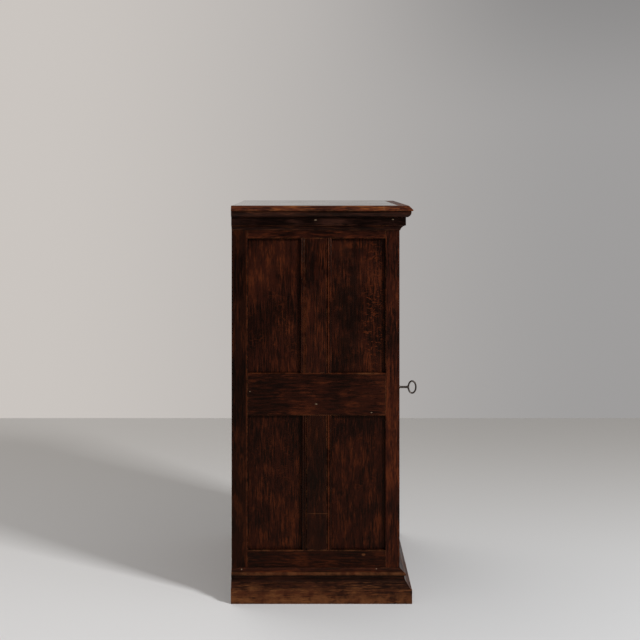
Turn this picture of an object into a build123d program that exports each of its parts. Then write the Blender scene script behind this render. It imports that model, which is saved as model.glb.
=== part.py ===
from build123d import *
from math import acos, pi, sqrt
import os

os.makedirs("parts", exist_ok=True)

# A small oak specimen cabinet on a plinth: one panelled door in front of a nest of shallow drawers.
# Millimetres. +X is right as seen from the front, +Y is towards the back, +Z is up from the floor.
# The origin is on the floor, under the middle of the overall depth, the key included.

# Case
body_width = 460.0
body_depth = 336.0
frame_thickness = 20.0
foot_gap = 2.0  # the side frames stop short of the floor, and the plinth carries the case

# Side frames: from the floor up, and from the front to the back
bottom_rail_top = 100.0
lower_panel_height = 269.6
mid_rail_height = 84.4
upper_panel_height = 269.6
top_rail_showing = 16.0
front_stile_width = 28.0
back_stile_width = 32.0
front_panel_width = 108.0
upper_muntin_width = 62.0
lower_muntin_width = 59.5
bead_radius = 2.1
bead_count = 2
bead_quirk = 1.2

# Grooves that hold the panels and the stub tenons
groove_inset = 7.0
groove_width = 6.0
groove_depth = 7.0
joint_fit = 0.1
panel_shake = 0.5

# Plinth: boards below, a moulding above
plinth_board_height = 40.0
plinth_face_height = 27.0
plinth_overhang = 23.3
plinth_step = 13.1
plinth_slope_hollow = 1.0
plinth_moulding_height = 25.0
plinth_cove_hollow = 1.2
plinth_bead_rise = 11.2
plinth_bead_height = 7.3
plinth_bead_reach = 11.4
plinth_quirk_reach = 8.9
plinth_splay_hollow = 0.5

# Cornice, upwards from the top rail
cavetto_height = 10.0
cavetto_toe = 1.2
cavetto_reach = 10.8
cavetto_hollow = 1.8
fascia_height = 16.4
fascia_reach = 11.9
ovolo_height = 12.5
ovolo_toe = 14.5
ovolo_reach = 22.2
ovolo_swell = 1.8
ovolo_fillet = 3.5
top_thickness = 10.5
top_arris_reach = 17.6
top_tip_reach = 25.8
top_tip_height = 2.4
top_edging_width = 20.0

# Boards inside the case
bottom_board_thickness = 18.0
dust_board_thickness = 12.0
housing_depth = 5.0
back_board_thickness = 10.0
back_board_count = 4
back_board_gap = 0.4
back_rebate_width = 8.0
top_rail_depth = 18.0

# Door
door_thickness = 20.0
door_gap = 1.0
door_head_gap = 2.0
door_foot_gap = 2.0
door_stile_width = 50.0
door_rail_height = 50.0
door_muntin_width = 60.0

# Hinges
hinge_length = 60.0
hinge_setback = 70.0
hinge_count = 2
knuckle_count = 5
knuckle_radius = 3.5
knuckle_gap = 0.3
pin_radius = 1.5
pin_fit = 0.05
pin_head_radius = 2.6
pin_head_height = 1.6
leaf_thickness = 1.6
leaf_reach = 15.0
leaf_gap = 0.6

# Lock, bolt and key
lock_backset = 25.0
lock_height = 418.5
lock_depth = 12.0
lock_wall = 1.5
lock_below = 11.0
lock_above = 20.0
bolt_throw = 7.0
bolt_thickness = 5.0
bolt_height = 12.0
bolt_nose = 0.8
bolt_fit = 0.3
bit_radius = 8.0
bit_thickness = 2.2
bit_length = 6.0
bit_ward = 1.2
talon_height = 5.0
talon_tail = 3.0
stem_radius = 2.25
stem_fit = 0.35
drill_pin_radius = 1.0
drill_pin_length = 5.0
drill_pin_fit = 0.08
key_projection = 38.0
bow_length = 18.6
bow_height = 27.6
bow_ring = 3.4
bow_thickness = 3.6
collar_radius = 3.6
collar_length = 2.5
escutcheon_width = 17.0
escutcheon_height = 30.0
escutcheon_thickness = 1.0
escutcheon_drop = 2.7
strike_thickness = 1.5
strike_height = 46.0
strike_width = 14.0

# Nest of drawers
drawer_count = 8
drawer_step = 6.0
drawer_setback = 30.0
drawer_side_gap = 0.6
drawer_back_gap = 2.0
drawer_front_gap = 1.5
drawer_front_thickness = 14.0
drawer_side_thickness = 8.0
drawer_side_drop = 6.0
drawer_bottom_thickness = 4.0
drawer_bottom_rise = 5.0
drawer_lip = 4.4
lip_fit = 0.3
nest_side_thickness = 12.0
filler_width = 27.4
filler_depth = 30.0
filler_gap = 0.5
dovetail_lap = 4.0
dovetail_pitch = 24.0
dovetail_pin = 4.0
dovetail_slope = 1 / 6
knob_sides = 8
knob_width = 17.0
knob_length = 15.0
knob_neck_width = 8.0
knob_neck_length = 3.0
knob_rim = 3.0
knob_crown_width = 12.0
knob_crown = 2.0

# Heights worked out from the sizes above
mid_rail_bottom = bottom_rail_top + lower_panel_height
mid_rail_top = mid_rail_bottom + mid_rail_height
top_rail_bottom = mid_rail_top + upper_panel_height
cornice_bottom = top_rail_bottom + top_rail_showing
fascia_bottom = cornice_bottom + cavetto_height
ovolo_bottom = fascia_bottom + fascia_height
top_underside = ovolo_bottom + ovolo_height
plinth_top = plinth_board_height + plinth_moulding_height
bottom_board_top = plinth_top
dust_board_bottom = cornice_bottom

# Places across and along the case
half_width = body_width / 2
inner_half_width = half_width - frame_thickness
front_y = key_projection - (body_depth + key_projection) / 2
back_y = front_y + body_depth
back_board_front_y = back_y - back_board_thickness

# The left side's outer face: u runs from the front edge to the back, v up, the normal inwards.
side_face = Plane(origin=(-half_width, front_y, 0), x_dir=(0, 1, 0), z_dir=(1, 0, 0))

# The door's outer face: u runs from the hinge edge to the lock edge, v up, the normal inwards.
door_width = 2 * (inner_half_width - door_gap)
door_bottom = plinth_top + door_foot_gap
door_top = cornice_bottom - door_head_gap
door_edge_x = door_width / 2
door_face = Plane(origin=(door_edge_x, front_y, 0), x_dir=(-1, 0, 0), z_dir=(0, 1, 0))


def save(piece, name):
    """Label a finished piece, or a group of loose pieces, and write it out."""
    solid = piece.part if hasattr(piece, "part") else Compound(children=piece)
    solid.label = name
    export_step(solid, f"parts/{name}.step")


def between(low, high):
    """The middle of a range and its length."""
    return (low + high) / 2, high - low


def board(x, y, z, mode=Mode.ADD):
    """A square-edged board across three ranges, added to the part being built."""
    (cx, lx), (cy, ly), (cz, lz) = between(*x), between(*y), between(*z)
    with Locations((cx, cy, cz)):
        Box(lx, ly, lz, mode=mode)


def on_face(face, u, v, depth, thickness, mode=Mode.ADD):
    """A rectangle on a frame's face, sunk to a depth below it and given a thickness."""
    (cu, lu), (cv, lv) = between(*u), between(*v)
    with BuildSketch(face.offset(depth)) as outline:
        with Locations((cu, cv)):
            Rectangle(lu, lv)
    extrude(outline.sketch, amount=thickness, mode=mode)


def mirrored(piece):
    """The right-hand twin of a left-hand piece."""
    with BuildPart() as twin:
        mirror(piece.part, about=Plane.YZ)
    return twin


# Framing: stiles, rails, muntins and panels


def stile(face, u, v, thickness, groove_u):
    """An upright with one long groove in its inner edge."""
    with BuildPart() as piece:
        on_face(face, u, v, 0, thickness)
        on_face(face, groove_u, v, groove_inset, groove_width, Mode.SUBTRACT)
    return piece


def rail(face, u, v, thickness, groove_above, groove_below):
    """A cross-piece with a stub tenon at each end and a groove where it meets panels."""
    tenon = groove_depth - joint_fit
    with BuildPart() as piece:
        on_face(face, u, v, 0, thickness)
        tongue = groove_width - 2 * joint_fit
        on_face(face, (u[0] - tenon, u[1] + tenon), v, groove_inset + joint_fit, tongue)
        reach = (u[0] - groove_depth, u[1] + groove_depth)
        if groove_above:
            on_face(face, reach, (v[1] - groove_depth, v[1]), groove_inset, groove_width, Mode.SUBTRACT)
        if groove_below:
            on_face(face, reach, (v[0], v[0] + groove_depth), groove_inset, groove_width, Mode.SUBTRACT)
    return piece


def muntin(face, u, v, thickness):
    """A centre upright with beads and a quirk worked along both edges, tenoned into the rails."""
    section = Plane(
        origin=face.from_local_coords((u[0], v[0], 0)), x_dir=face.x_dir, z_dir=face.y_dir
    )
    width = u[1] - u[0]
    bead = 2 * bead_radius
    beads = bead_count * bead
    tenon = groove_depth - joint_fit
    with BuildPart() as piece:
        with BuildSketch(section):
            with BuildLine():
                Polyline(
                    (beads, -bead_radius),
                    (beads + bead_quirk, 0),
                    (width - beads - bead_quirk, 0),
                    (width - beads, -bead_radius),
                )
                for index in range(bead_count):
                    for low in (bead * index, width - bead * (index + 1)):
                        ThreePointArc(
                            (low, -bead_radius), (low + bead_radius, 0), (low + bead, -bead_radius)
                        )
                Polyline((width, -bead_radius), (width, -thickness), (0, -thickness), (0, -bead_radius))
            make_face()
        extrude(amount=v[1] - v[0])
        tongue = groove_width - 2 * joint_fit
        on_face(face, u, (v[0] - tenon, v[1] + tenon), groove_inset + joint_fit, tongue)
        for groove_u in ((u[0], u[0] + groove_depth), (u[1] - groove_depth, u[1])):
            reach = (v[0] - groove_depth, v[1] + groove_depth)
            on_face(face, groove_u, reach, groove_inset, groove_width, Mode.SUBTRACT)
    return piece


def panel(face, u, v):
    """A flat panel held in the grooves on all four sides."""
    tuck = groove_depth - panel_shake
    with BuildPart() as piece:
        on_face(
            face,
            (u[0] - tuck, u[1] + tuck),
            (v[0] - tuck, v[1] + tuck),
            groove_inset + joint_fit,
            groove_width - 2 * joint_fit,
        )
    return piece


def cut_housings():
    """The housings for the bottom board and the dust board in a left side piece."""
    x = (-inner_half_width - housing_depth - joint_fit, -inner_half_width)
    y = (front_y, back_y)
    floor = (bottom_board_top - bottom_board_thickness - joint_fit, bottom_board_top + joint_fit)
    ceiling = (dust_board_bottom - joint_fit, dust_board_bottom + dust_board_thickness + joint_fit)
    for z in (floor, ceiling):
        board(x, y, z, Mode.SUBTRACT)


def cut_back_rebate():
    """The rebate for the back boards in a left side's back stile."""
    x = (-inner_half_width - back_rebate_width - joint_fit, -inner_half_width)
    y = (back_board_front_y - joint_fit, back_y)
    board(x, y, (foot_gap, top_underside), Mode.SUBTRACT)


# Side frames, made for the left and mirrored for the right

side_v = (foot_gap, top_underside)
rail_u = (front_stile_width, body_depth - back_stile_width)
muntin_u = front_stile_width + front_panel_width
upper_muntin_u = (muntin_u, muntin_u + upper_muntin_width)
lower_muntin_u = (muntin_u, muntin_u + lower_muntin_width)
lower_v = (bottom_rail_top, mid_rail_bottom)
upper_v = (mid_rail_top, top_rail_bottom)

plain_front_stile = stile(
    side_face,
    (0, front_stile_width),
    side_v,
    frame_thickness,
    (front_stile_width - groove_depth, front_stile_width),
)
with BuildPart() as front_stile:
    add(plain_front_stile.part)
    cut_housings()

plain_back_stile = stile(
    side_face,
    (rail_u[1], body_depth),
    side_v,
    frame_thickness,
    (rail_u[1], rail_u[1] + groove_depth),
)
with BuildPart() as back_stile:
    add(plain_back_stile.part)
    cut_housings()
    cut_back_rebate()

side_rails = []
for rail_v, above, below in (
    ((foot_gap, bottom_rail_top), True, False),
    ((mid_rail_bottom, mid_rail_top), True, True),
    ((top_rail_bottom, top_underside), False, True),
):
    plain_rail = rail(side_face, rail_u, rail_v, frame_thickness, above, below)
    with BuildPart() as side_rail:
        add(plain_rail.part)
        cut_housings()
    side_rails.append(side_rail)

side_muntins = [
    muntin(side_face, upper_muntin_u, upper_v, frame_thickness),
    muntin(side_face, lower_muntin_u, lower_v, frame_thickness),
]
side_panels = []
for (first_u, last_u), panel_v in ((upper_muntin_u, upper_v), (lower_muntin_u, lower_v)):
    side_panels.append(panel(side_face, (front_stile_width, first_u), panel_v))
    side_panels.append(panel(side_face, (last_u, rail_u[1]), panel_v))

save([piece.part for piece in side_rails], "left_rails")
save([piece.part for piece in side_muntins], "left_muntins")
save([piece.part for piece in side_panels], "left_panels")
save([mirrored(piece).part for piece in side_rails], "right_rails")
save([mirrored(piece).part for piece in side_muntins], "right_muntins")
save([mirrored(piece).part for piece in side_panels], "right_panels")


# Hinges: case leaf on the right, door leaf on the left, knuckles in turn around one pin

pivot_x = (inner_half_width + door_edge_x) / 2
pivot_y = front_y - knuckle_radius - knuckle_gap
hinge_span = door_top - door_bottom - 2 * hinge_setback - hinge_length
hinge_bottoms = [
    door_bottom + hinge_setback + hinge_span * i / (hinge_count - 1) for i in range(hinge_count)
]
leaf_y = (front_y, front_y + leaf_reach)
case_leaf_x = (pivot_x + leaf_gap / 2, pivot_x + leaf_gap / 2 + leaf_thickness)
door_leaf_x = (pivot_x - leaf_gap / 2 - leaf_thickness, pivot_x - leaf_gap / 2)
knuckle_length = hinge_length / knuckle_count


def hinge_leaf(leaf_x, z0, first_knuckle):
    """One leaf with every second knuckle, bored for the pin."""
    with BuildPart() as leaf:
        board(leaf_x, leaf_y, (z0, z0 + hinge_length))
        for k in range(first_knuckle, knuckle_count, 2):
            low = z0 + k * knuckle_length + (joint_fit if k else 0)
            high = z0 + (k + 1) * knuckle_length - (joint_fit if k < knuckle_count - 1 else 0)
            board(leaf_x, (pivot_y, front_y), (low, high))
            with Locations((pivot_x, pivot_y, (low + high) / 2)):
                Cylinder(knuckle_radius, high - low)
        with Locations((pivot_x, pivot_y, z0 + hinge_length / 2)):
            Cylinder(pin_radius + pin_fit, 2 * hinge_length, mode=Mode.SUBTRACT)
    return leaf


def hinge_pin(z0):
    """A pin with a flat head on top, just clear of the upper knuckle."""
    head_z = z0 + hinge_length + pin_fit
    with BuildPart() as pin:
        with BuildSketch(Plane.XY.offset(z0)):
            with Locations((pivot_x, pivot_y)):
                Circle(pin_radius)
        extrude(amount=head_z - z0)
        with BuildSketch(Plane.XY.offset(head_z)):
            with Locations((pivot_x, pivot_y)):
                Circle(pin_head_radius)
        extrude(amount=pin_head_height)
    return pin.part


def cut_leaf_mortises(leaf_x):
    """The shallow recesses that the leaves lie in."""
    for z0 in hinge_bottoms:
        z = (z0 - joint_fit, z0 + hinge_length + joint_fit)
        board(leaf_x, (front_y, leaf_y[1] + joint_fit), z, Mode.SUBTRACT)


save([hinge_leaf(case_leaf_x, z0, 0).part for z0 in hinge_bottoms], "case_hinge_leaves")
save([hinge_leaf(door_leaf_x, z0, 1).part for z0 in hinge_bottoms], "door_hinge_leaves")
save([hinge_pin(z0) for z0 in hinge_bottoms], "hinge_pins")


# Lock: a cut lock let into the back of the lock stile

key_x = -door_edge_x + lock_backset
key_axis_plane = Plane(origin=(key_x, front_y, lock_height), x_dir=(1, 0, 0), z_dir=(0, -1, 0))
lock_front_y = front_y + door_thickness - lock_depth
lock_back_y = front_y + door_thickness
talon_angle = acos(talon_height / bit_radius)
talon_left = bolt_throw - bit_thickness / 2 - bolt_fit
talon_right = (
    sqrt(bit_radius**2 - talon_height**2) + bolt_throw * (1 - talon_angle / pi) + bit_thickness / 2
)
bolt_end_x = key_x + talon_right + talon_tail
lock_x = (-door_edge_x, bolt_end_x + bolt_fit + lock_wall)
lock_z = (lock_height - lock_below, lock_height + lock_above)
bolt_middle_y = (lock_front_y + lock_back_y) / 2
bolt_y = (bolt_middle_y - bolt_thickness / 2, bolt_middle_y + bolt_thickness / 2)
bolt_z = (lock_height + talon_height, lock_height + talon_height + bolt_height)
bolt_slot_y = (bolt_y[0] - bolt_fit, bolt_y[1] + bolt_fit)
bolt_slot_z = (bolt_z[0] - bolt_fit, bolt_z[1] + bolt_fit)


def keyhole(radius, slot_width, low_y, high_y):
    """Cut a keyhole, a round hole with a slot below it for the bit."""
    depth = high_y - low_y
    with BuildSketch(key_axis_plane.offset(front_y - low_y)) as hole:
        Circle(radius)
        with Locations((0, -bit_radius / 2 - stem_fit)):
            Rectangle(slot_width, bit_radius + 2 * stem_fit)
    extrude(hole.sketch, amount=-depth, mode=Mode.SUBTRACT)


hole_radius = stem_radius + stem_fit
slot_width = bit_thickness + 2 * stem_fit

with BuildPart() as lock_box:
    board(lock_x, (lock_front_y, lock_back_y - lock_wall), lock_z)
    board(
        (lock_x[0] + lock_wall, lock_x[1] - lock_wall),
        (lock_front_y + lock_wall, lock_back_y - lock_wall),
        (lock_z[0] + lock_wall, lock_z[1] - lock_wall),
        Mode.SUBTRACT,
    )
    board((lock_x[0], lock_x[0] + lock_wall), bolt_slot_y, bolt_slot_z, Mode.SUBTRACT)
    keyhole(hole_radius, slot_width, lock_front_y, lock_front_y + lock_wall)

with BuildPart() as lock_cap:
    board(lock_x, (lock_back_y - lock_wall, lock_back_y), lock_z)
    with BuildSketch(key_axis_plane.offset(front_y - lock_back_y + lock_wall)) as drill_pin:
        Circle(drill_pin_radius)
    extrude(drill_pin.sketch, amount=drill_pin_length)
save([lock_box.part, lock_cap.part], "lock_case")

with BuildPart() as lock_bolt:
    board((lock_x[0], bolt_end_x), bolt_y, bolt_z)
    with BuildSketch(key_axis_plane.offset(front_y - bolt_y[0])) as talon:
        with Locations(((talon_left + talon_right) / 2, (talon_height + bit_radius + bolt_fit) / 2)):
            Rectangle(talon_right - talon_left, bit_radius + bolt_fit - talon_height + bolt_fit)
    extrude(talon.sketch, amount=-bolt_thickness, mode=Mode.SUBTRACT)
    nose = lock_bolt.edges().filter_by(Axis.Z).group_by(Axis.X)[0]
    chamfer(nose, bolt_nose)
save(lock_bolt, "lock_bolt")

with BuildPart() as escutcheon:
    with BuildSketch(key_axis_plane) as plate:
        with Locations((0, -escutcheon_drop)):
            Ellipse(escutcheon_width / 2, escutcheon_height / 2)
    extrude(plate.sketch, amount=escutcheon_thickness)
    keyhole(hole_radius, slot_width, front_y - escutcheon_thickness, front_y)
save(escutcheon, "escutcheon")

# The key: an oval bow edge-on to the front, a collar, a piped stem and a bit that hangs down
bow_y = front_y - key_projection + bow_length / 2
stem_front_y = bow_y + bow_length / 2 - bow_ring / 2
stem_end_y = lock_back_y - lock_wall - bolt_fit
bit_y = (stem_end_y - bit_length - bolt_fit, stem_end_y - bolt_fit)
collar_y = front_y - escutcheon_thickness - bolt_fit - collar_length

with BuildPart() as key:
    with BuildSketch(Plane(origin=(key_x, bow_y, lock_height), x_dir=(0, 1, 0), z_dir=(1, 0, 0))):
        Ellipse(bow_length / 2, bow_height / 2)
        Ellipse(bow_length / 2 - bow_ring, bow_height / 2 - bow_ring, mode=Mode.SUBTRACT)
    extrude(amount=bow_thickness / 2, both=True)
    with BuildSketch(key_axis_plane.offset(front_y - stem_front_y)):
        Circle(stem_radius)
    extrude(amount=stem_front_y - stem_end_y)
    with BuildSketch(key_axis_plane.offset(front_y - collar_y)):
        Circle(collar_radius)
    extrude(amount=-collar_length)
    board(
        (key_x - bit_thickness / 2, key_x + bit_thickness / 2),
        bit_y,
        (lock_height - bit_radius, lock_height),
    )
    board(
        (key_x - bit_thickness, key_x + bit_thickness),
        (sum(bit_y) / 2 - bit_ward / 2, sum(bit_y) / 2 + bit_ward / 2),
        (lock_height - bit_radius, lock_height - bit_radius / 2),
        Mode.SUBTRACT,
    )
    with BuildSketch(key_axis_plane.offset(front_y - stem_end_y)):
        Circle(drill_pin_radius + drill_pin_fit)
    extrude(amount=drill_pin_length, mode=Mode.SUBTRACT)
save(key, "key")

# Strike plate, on the left side's inner face, and the pocket behind it
strike_x = (-inner_half_width - strike_thickness, -inner_half_width)
bolt_middle_z = sum(bolt_z) / 2
strike_z = (bolt_middle_z - strike_height / 2, bolt_middle_z + strike_height / 2)
strike_y = (bolt_middle_y - strike_width / 2, bolt_middle_y + strike_width / 2)
pocket_x = (-inner_half_width - bolt_throw - bolt_fit, -inner_half_width)

with BuildPart() as strike_plate:
    board(strike_x, strike_y, strike_z)
    board(strike_x, bolt_slot_y, bolt_slot_z, Mode.SUBTRACT)
save(strike_plate, "strike_plate")

with BuildPart() as struck_stile:
    add(front_stile.part)
    board(
        (strike_x[0], strike_x[1]),
        (strike_y[0] - joint_fit, strike_y[1] + joint_fit),
        (strike_z[0] - joint_fit, strike_z[1] + joint_fit),
        Mode.SUBTRACT,
    )
    board(pocket_x, bolt_slot_y, bolt_slot_z, Mode.SUBTRACT)
save([struck_stile.part, back_stile.part], "left_stiles")

with BuildPart() as hinged_stile:
    mirror(front_stile.part, about=Plane.YZ)
    cut_leaf_mortises((inner_half_width - joint_fit, case_leaf_x[1]))
save([hinged_stile.part, mirrored(back_stile).part], "right_stiles")


# Door

door_v = (door_bottom, door_top)
door_rail_u = (door_stile_width, door_width - door_stile_width)
door_muntin_u = (door_width / 2 - door_muntin_width / 2, door_width / 2 + door_muntin_width / 2)
door_lower_v = (door_bottom + door_rail_height, mid_rail_bottom)
door_upper_v = (mid_rail_top, door_top - door_rail_height)

plain_hinge_stile = stile(
    door_face,
    (0, door_stile_width),
    door_v,
    door_thickness,
    (door_rail_u[0] - groove_depth, door_rail_u[0]),
)
with BuildPart() as door_hinge_stile:
    add(plain_hinge_stile.part)
    cut_leaf_mortises((door_leaf_x[0], door_edge_x))
save(door_hinge_stile, "door_hinge_stile")

plain_lock_stile = stile(
    door_face,
    (door_rail_u[1], door_width),
    door_v,
    door_thickness,
    (door_rail_u[1], door_rail_u[1] + groove_depth),
)
with BuildPart() as door_lock_stile:
    add(plain_lock_stile.part)
    board(
        (lock_x[0], lock_x[1] + joint_fit),
        (lock_front_y - joint_fit, lock_back_y),
        (lock_z[0] - joint_fit, lock_z[1] + joint_fit),
        Mode.SUBTRACT,
    )
    keyhole(hole_radius, slot_width, front_y, lock_front_y)
save(door_lock_stile, "door_lock_stile")

door_rails = [
    rail(door_face, door_rail_u, (door_bottom, door_lower_v[0]), door_thickness, True, False),
    rail(door_face, door_rail_u, (mid_rail_bottom, mid_rail_top), door_thickness, True, True),
    rail(door_face, door_rail_u, (door_upper_v[1], door_top), door_thickness, False, True),
]
door_muntins = [
    muntin(door_face, door_muntin_u, door_upper_v, door_thickness),
    muntin(door_face, door_muntin_u, door_lower_v, door_thickness),
]
door_panels = [
    panel(door_face, panel_u, panel_v)
    for panel_v in (door_lower_v, door_upper_v)
    for panel_u in ((door_rail_u[0], door_muntin_u[0]), (door_muntin_u[1], door_rail_u[1]))
]
save([piece.part for piece in door_rails], "door_rails")
save([piece.part for piece in door_muntins], "door_muntins")
save([piece.part for piece in door_panels], "door_panels")


# Boards of the case

with BuildPart() as bottom_board:
    board(
        (-inner_half_width - housing_depth, inner_half_width + housing_depth),
        (front_y, back_board_front_y),
        (bottom_board_top - bottom_board_thickness, bottom_board_top),
    )
save(bottom_board, "bottom_board")

with BuildPart() as dust_board:
    board(
        (-inner_half_width - housing_depth, inner_half_width + housing_depth),
        (front_y, back_board_front_y),
        (dust_board_bottom, dust_board_bottom + dust_board_thickness),
    )
save(dust_board, "dust_board")

with BuildPart() as front_top_rail:
    board(
        (-inner_half_width, inner_half_width),
        (front_y, front_y + top_rail_depth),
        (dust_board_bottom + dust_board_thickness, top_underside),
    )
save(front_top_rail, "front_top_rail")

back_half_width = inner_half_width + back_rebate_width
back_board_width = (2 * back_half_width - (back_board_count - 1) * back_board_gap) / back_board_count
with BuildPart() as back_boards:
    for i in range(back_board_count):
        left = -back_half_width + i * (back_board_width + back_board_gap)
        board(
            (left, left + back_board_width),
            (back_board_front_y, back_y),
            (foot_gap, top_underside),
        )
save(back_boards, "back_boards")


# Mouldings: one length for the left side, one for the front and one for the right, mitred

mitre_left = Plane(origin=(-half_width, front_y, 0), z_dir=(1, -1, 0))
mitre_right = Plane(origin=(half_width, front_y, 0), z_dir=(-1, -1, 0))


def moulding_run(outline, widest):
    """Three mitred lengths of one section, drawn outwards from the case and up."""
    left_start = Plane(origin=(-half_width, front_y - widest, 0), x_dir=(-1, 0, 0), z_dir=(0, 1, 0))
    front_start = Plane(origin=(half_width + widest, front_y, 0), x_dir=(0, -1, 0), z_dir=(-1, 0, 0))
    with BuildPart() as left:
        with BuildSketch(left_start) as section:
            with BuildLine():
                outline()
            make_face()
        extrude(amount=body_depth + widest)
        split(bisect_by=mitre_left, keep=Keep.BOTTOM)
    with BuildPart() as front:
        with BuildSketch(front_start) as section:
            with BuildLine():
                outline()
            make_face()
        extrude(amount=body_width + 2 * widest)
        split(bisect_by=mitre_left, keep=Keep.TOP)
        split(bisect_by=mitre_right, keep=Keep.TOP)
    return [left.part, front.part, mirrored(left).part]


def plinth_board_outline():
    shoulder = (plinth_overhang, plinth_face_height)
    step = (plinth_step, plinth_board_height)
    Polyline(step, (0, plinth_board_height), (0, 0), (plinth_overhang, 0), shoulder)
    SagittaArc(shoulder, step, plinth_slope_hollow)


def plinth_moulding_outline():
    toe = (plinth_step, plinth_board_height)
    bead_low = (plinth_quirk_reach, plinth_board_height + plinth_bead_rise)
    bead_high = (plinth_quirk_reach, bead_low[1] + plinth_bead_height)
    tip = (cavetto_toe, plinth_top)
    Polyline(tip, (0, plinth_top), (0, plinth_board_height), toe)
    SagittaArc(toe, bead_low, plinth_cove_hollow)
    SagittaArc(bead_low, bead_high, plinth_quirk_reach - plinth_bead_reach)
    SagittaArc(bead_high, tip, plinth_splay_hollow)


def cavetto_outline():
    toe = (cavetto_toe, cornice_bottom)
    tip = (cavetto_reach, fascia_bottom)
    Polyline(tip, (0, fascia_bottom), (0, cornice_bottom), toe)
    SagittaArc(toe, tip, cavetto_hollow)


def fascia_outline():
    low, high = fascia_bottom, ovolo_bottom
    Polyline((0, low), (fascia_reach, low), (fascia_reach, high), (0, high), close=True)


def ovolo_outline():
    toe = (ovolo_toe, ovolo_bottom)
    shoulder = (ovolo_reach, top_underside - ovolo_fillet)
    Polyline(shoulder, (ovolo_reach, top_underside), (0, top_underside), (0, ovolo_bottom), toe)
    SagittaArc(toe, shoulder, -ovolo_swell)


def top_edging_outline():
    low, high = top_underside, top_underside + top_thickness
    inner = top_arris_reach - top_edging_width
    tip = top_tip_reach
    Polyline(
        (inner, low),
        (tip - top_tip_height / 2, low),
        (tip, low + top_tip_height / 2),
        (tip, low + top_tip_height),
        (top_arris_reach, high),
        (inner, high),
        close=True,
    )


save(moulding_run(plinth_board_outline, plinth_overhang), "plinth_boards")
save(moulding_run(plinth_moulding_outline, plinth_step), "plinth_moulding")
save(moulding_run(cavetto_outline, cavetto_reach), "cornice_cavetto")
save(moulding_run(fascia_outline, fascia_reach), "cornice_fascia")
save(moulding_run(ovolo_outline, ovolo_reach), "cornice_ovolo")
save(moulding_run(top_edging_outline, top_tip_reach), "top_edging")

top_board_reach = top_arris_reach - top_edging_width
with BuildPart() as top_board:
    board(
        (-half_width - top_board_reach, half_width + top_board_reach),
        (front_y - top_board_reach, back_y),
        (top_underside, top_underside + top_thickness),
    )
save(top_board, "top_board")


# Nest of drawers: grooved sides, filler strips that the door closes against, graduated drawers

nest_height = dust_board_bottom - bottom_board_top
steps = drawer_count * (drawer_count - 1) / 2
top_pitch = (nest_height - drawer_step * steps) / drawer_count
drawer_face_y = front_y + door_thickness + drawer_setback
drawer_back_y = back_board_front_y - drawer_back_gap
nest_x = inner_half_width - filler_width - nest_side_thickness
drawer_half_width = nest_x - drawer_side_gap
groove_reach = drawer_half_width + drawer_lip + lip_fit

# The first drawer is the shallowest and on top.
drawer_spans = []
drawer_top = dust_board_bottom
for i in range(drawer_count):
    pitch = top_pitch + i * drawer_step
    drawer_spans.append((drawer_top - pitch, drawer_top))
    drawer_top -= pitch

with BuildPart() as left_nest_side:
    board(
        (-nest_x - nest_side_thickness, -nest_x),
        (drawer_face_y, back_board_front_y),
        (bottom_board_top, dust_board_bottom),
    )
    for low, high in drawer_spans:
        lip_z = low + drawer_bottom_rise
        board(
            (-groove_reach, -nest_x),
            (drawer_face_y, back_board_front_y),
            (lip_z - lip_fit, lip_z + drawer_bottom_thickness + lip_fit),
            Mode.SUBTRACT,
        )
save(left_nest_side, "left_nest_side")
save(mirrored(left_nest_side), "right_nest_side")

filler_front_y = front_y + door_thickness + filler_gap
with BuildPart() as left_filler:
    board(
        (-inner_half_width, -nest_x - nest_side_thickness),
        (filler_front_y, drawer_face_y + filler_depth),
        (bottom_board_top, dust_board_bottom),
    )
save(left_filler, "left_filler")
save(mirrored(left_filler), "right_filler")


def dovetail_sockets(side_low, side_high, ease):
    """The tails of one drawer side as they stand in the front, widened by ease."""
    count = max(2, round((side_high - side_low) / dovetail_pitch))
    pitch = (side_high - side_low) / count
    length = drawer_front_thickness - dovetail_lap
    half_root = (pitch - dovetail_pin) / 2 - length * dovetail_slope + ease
    half_tip = half_root + length * dovetail_slope
    root_y = drawer_face_y + drawer_front_thickness
    tip_y = root_y - length - ease
    with BuildSketch(Plane.YZ.offset(-drawer_half_width)) as tails:
        for k in range(count):
            middle = side_low + (k + 0.5) * pitch
            with BuildLine():
                Polyline(
                    (root_y, middle - half_root),
                    (tip_y, middle - half_tip),
                    (tip_y, middle + half_tip),
                    (root_y, middle + half_root),
                    close=True,
                )
            make_face()
    return tails.sketch


def drawer_knob(z):
    """An eight-sided knob on the drawer front: a neck, a flare, a rim and a bevelled crown."""
    seat = Plane(origin=(0, drawer_face_y, z), x_dir=(1, 0, 0), z_dir=(0, -1, 0))
    flat_up = 180 / knob_sides
    flare = ((knob_width - knob_neck_width) / 2, knob_length - knob_neck_length - knob_rim - knob_crown)
    crown = ((knob_width - knob_crown_width) / 2, knob_crown)
    with BuildPart() as knob:
        with BuildSketch(seat.offset(knob_neck_length)):
            RegularPolygon(knob_width / 2, knob_sides, major_radius=False, rotation=flat_up)
        extrude(amount=knob_length - knob_neck_length)
        for end, (inset, depth) in ((0, crown), (-1, flare)):
            cap = knob.faces().sort_by(Axis.Y)[end]
            chamfer(cap.edges(), length=inset, length2=depth, reference=cap)
        with BuildSketch(seat):
            RegularPolygon(knob_neck_width / 2, knob_sides, major_radius=False, rotation=flat_up)
        extrude(amount=knob_neck_length)
    return knob


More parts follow.
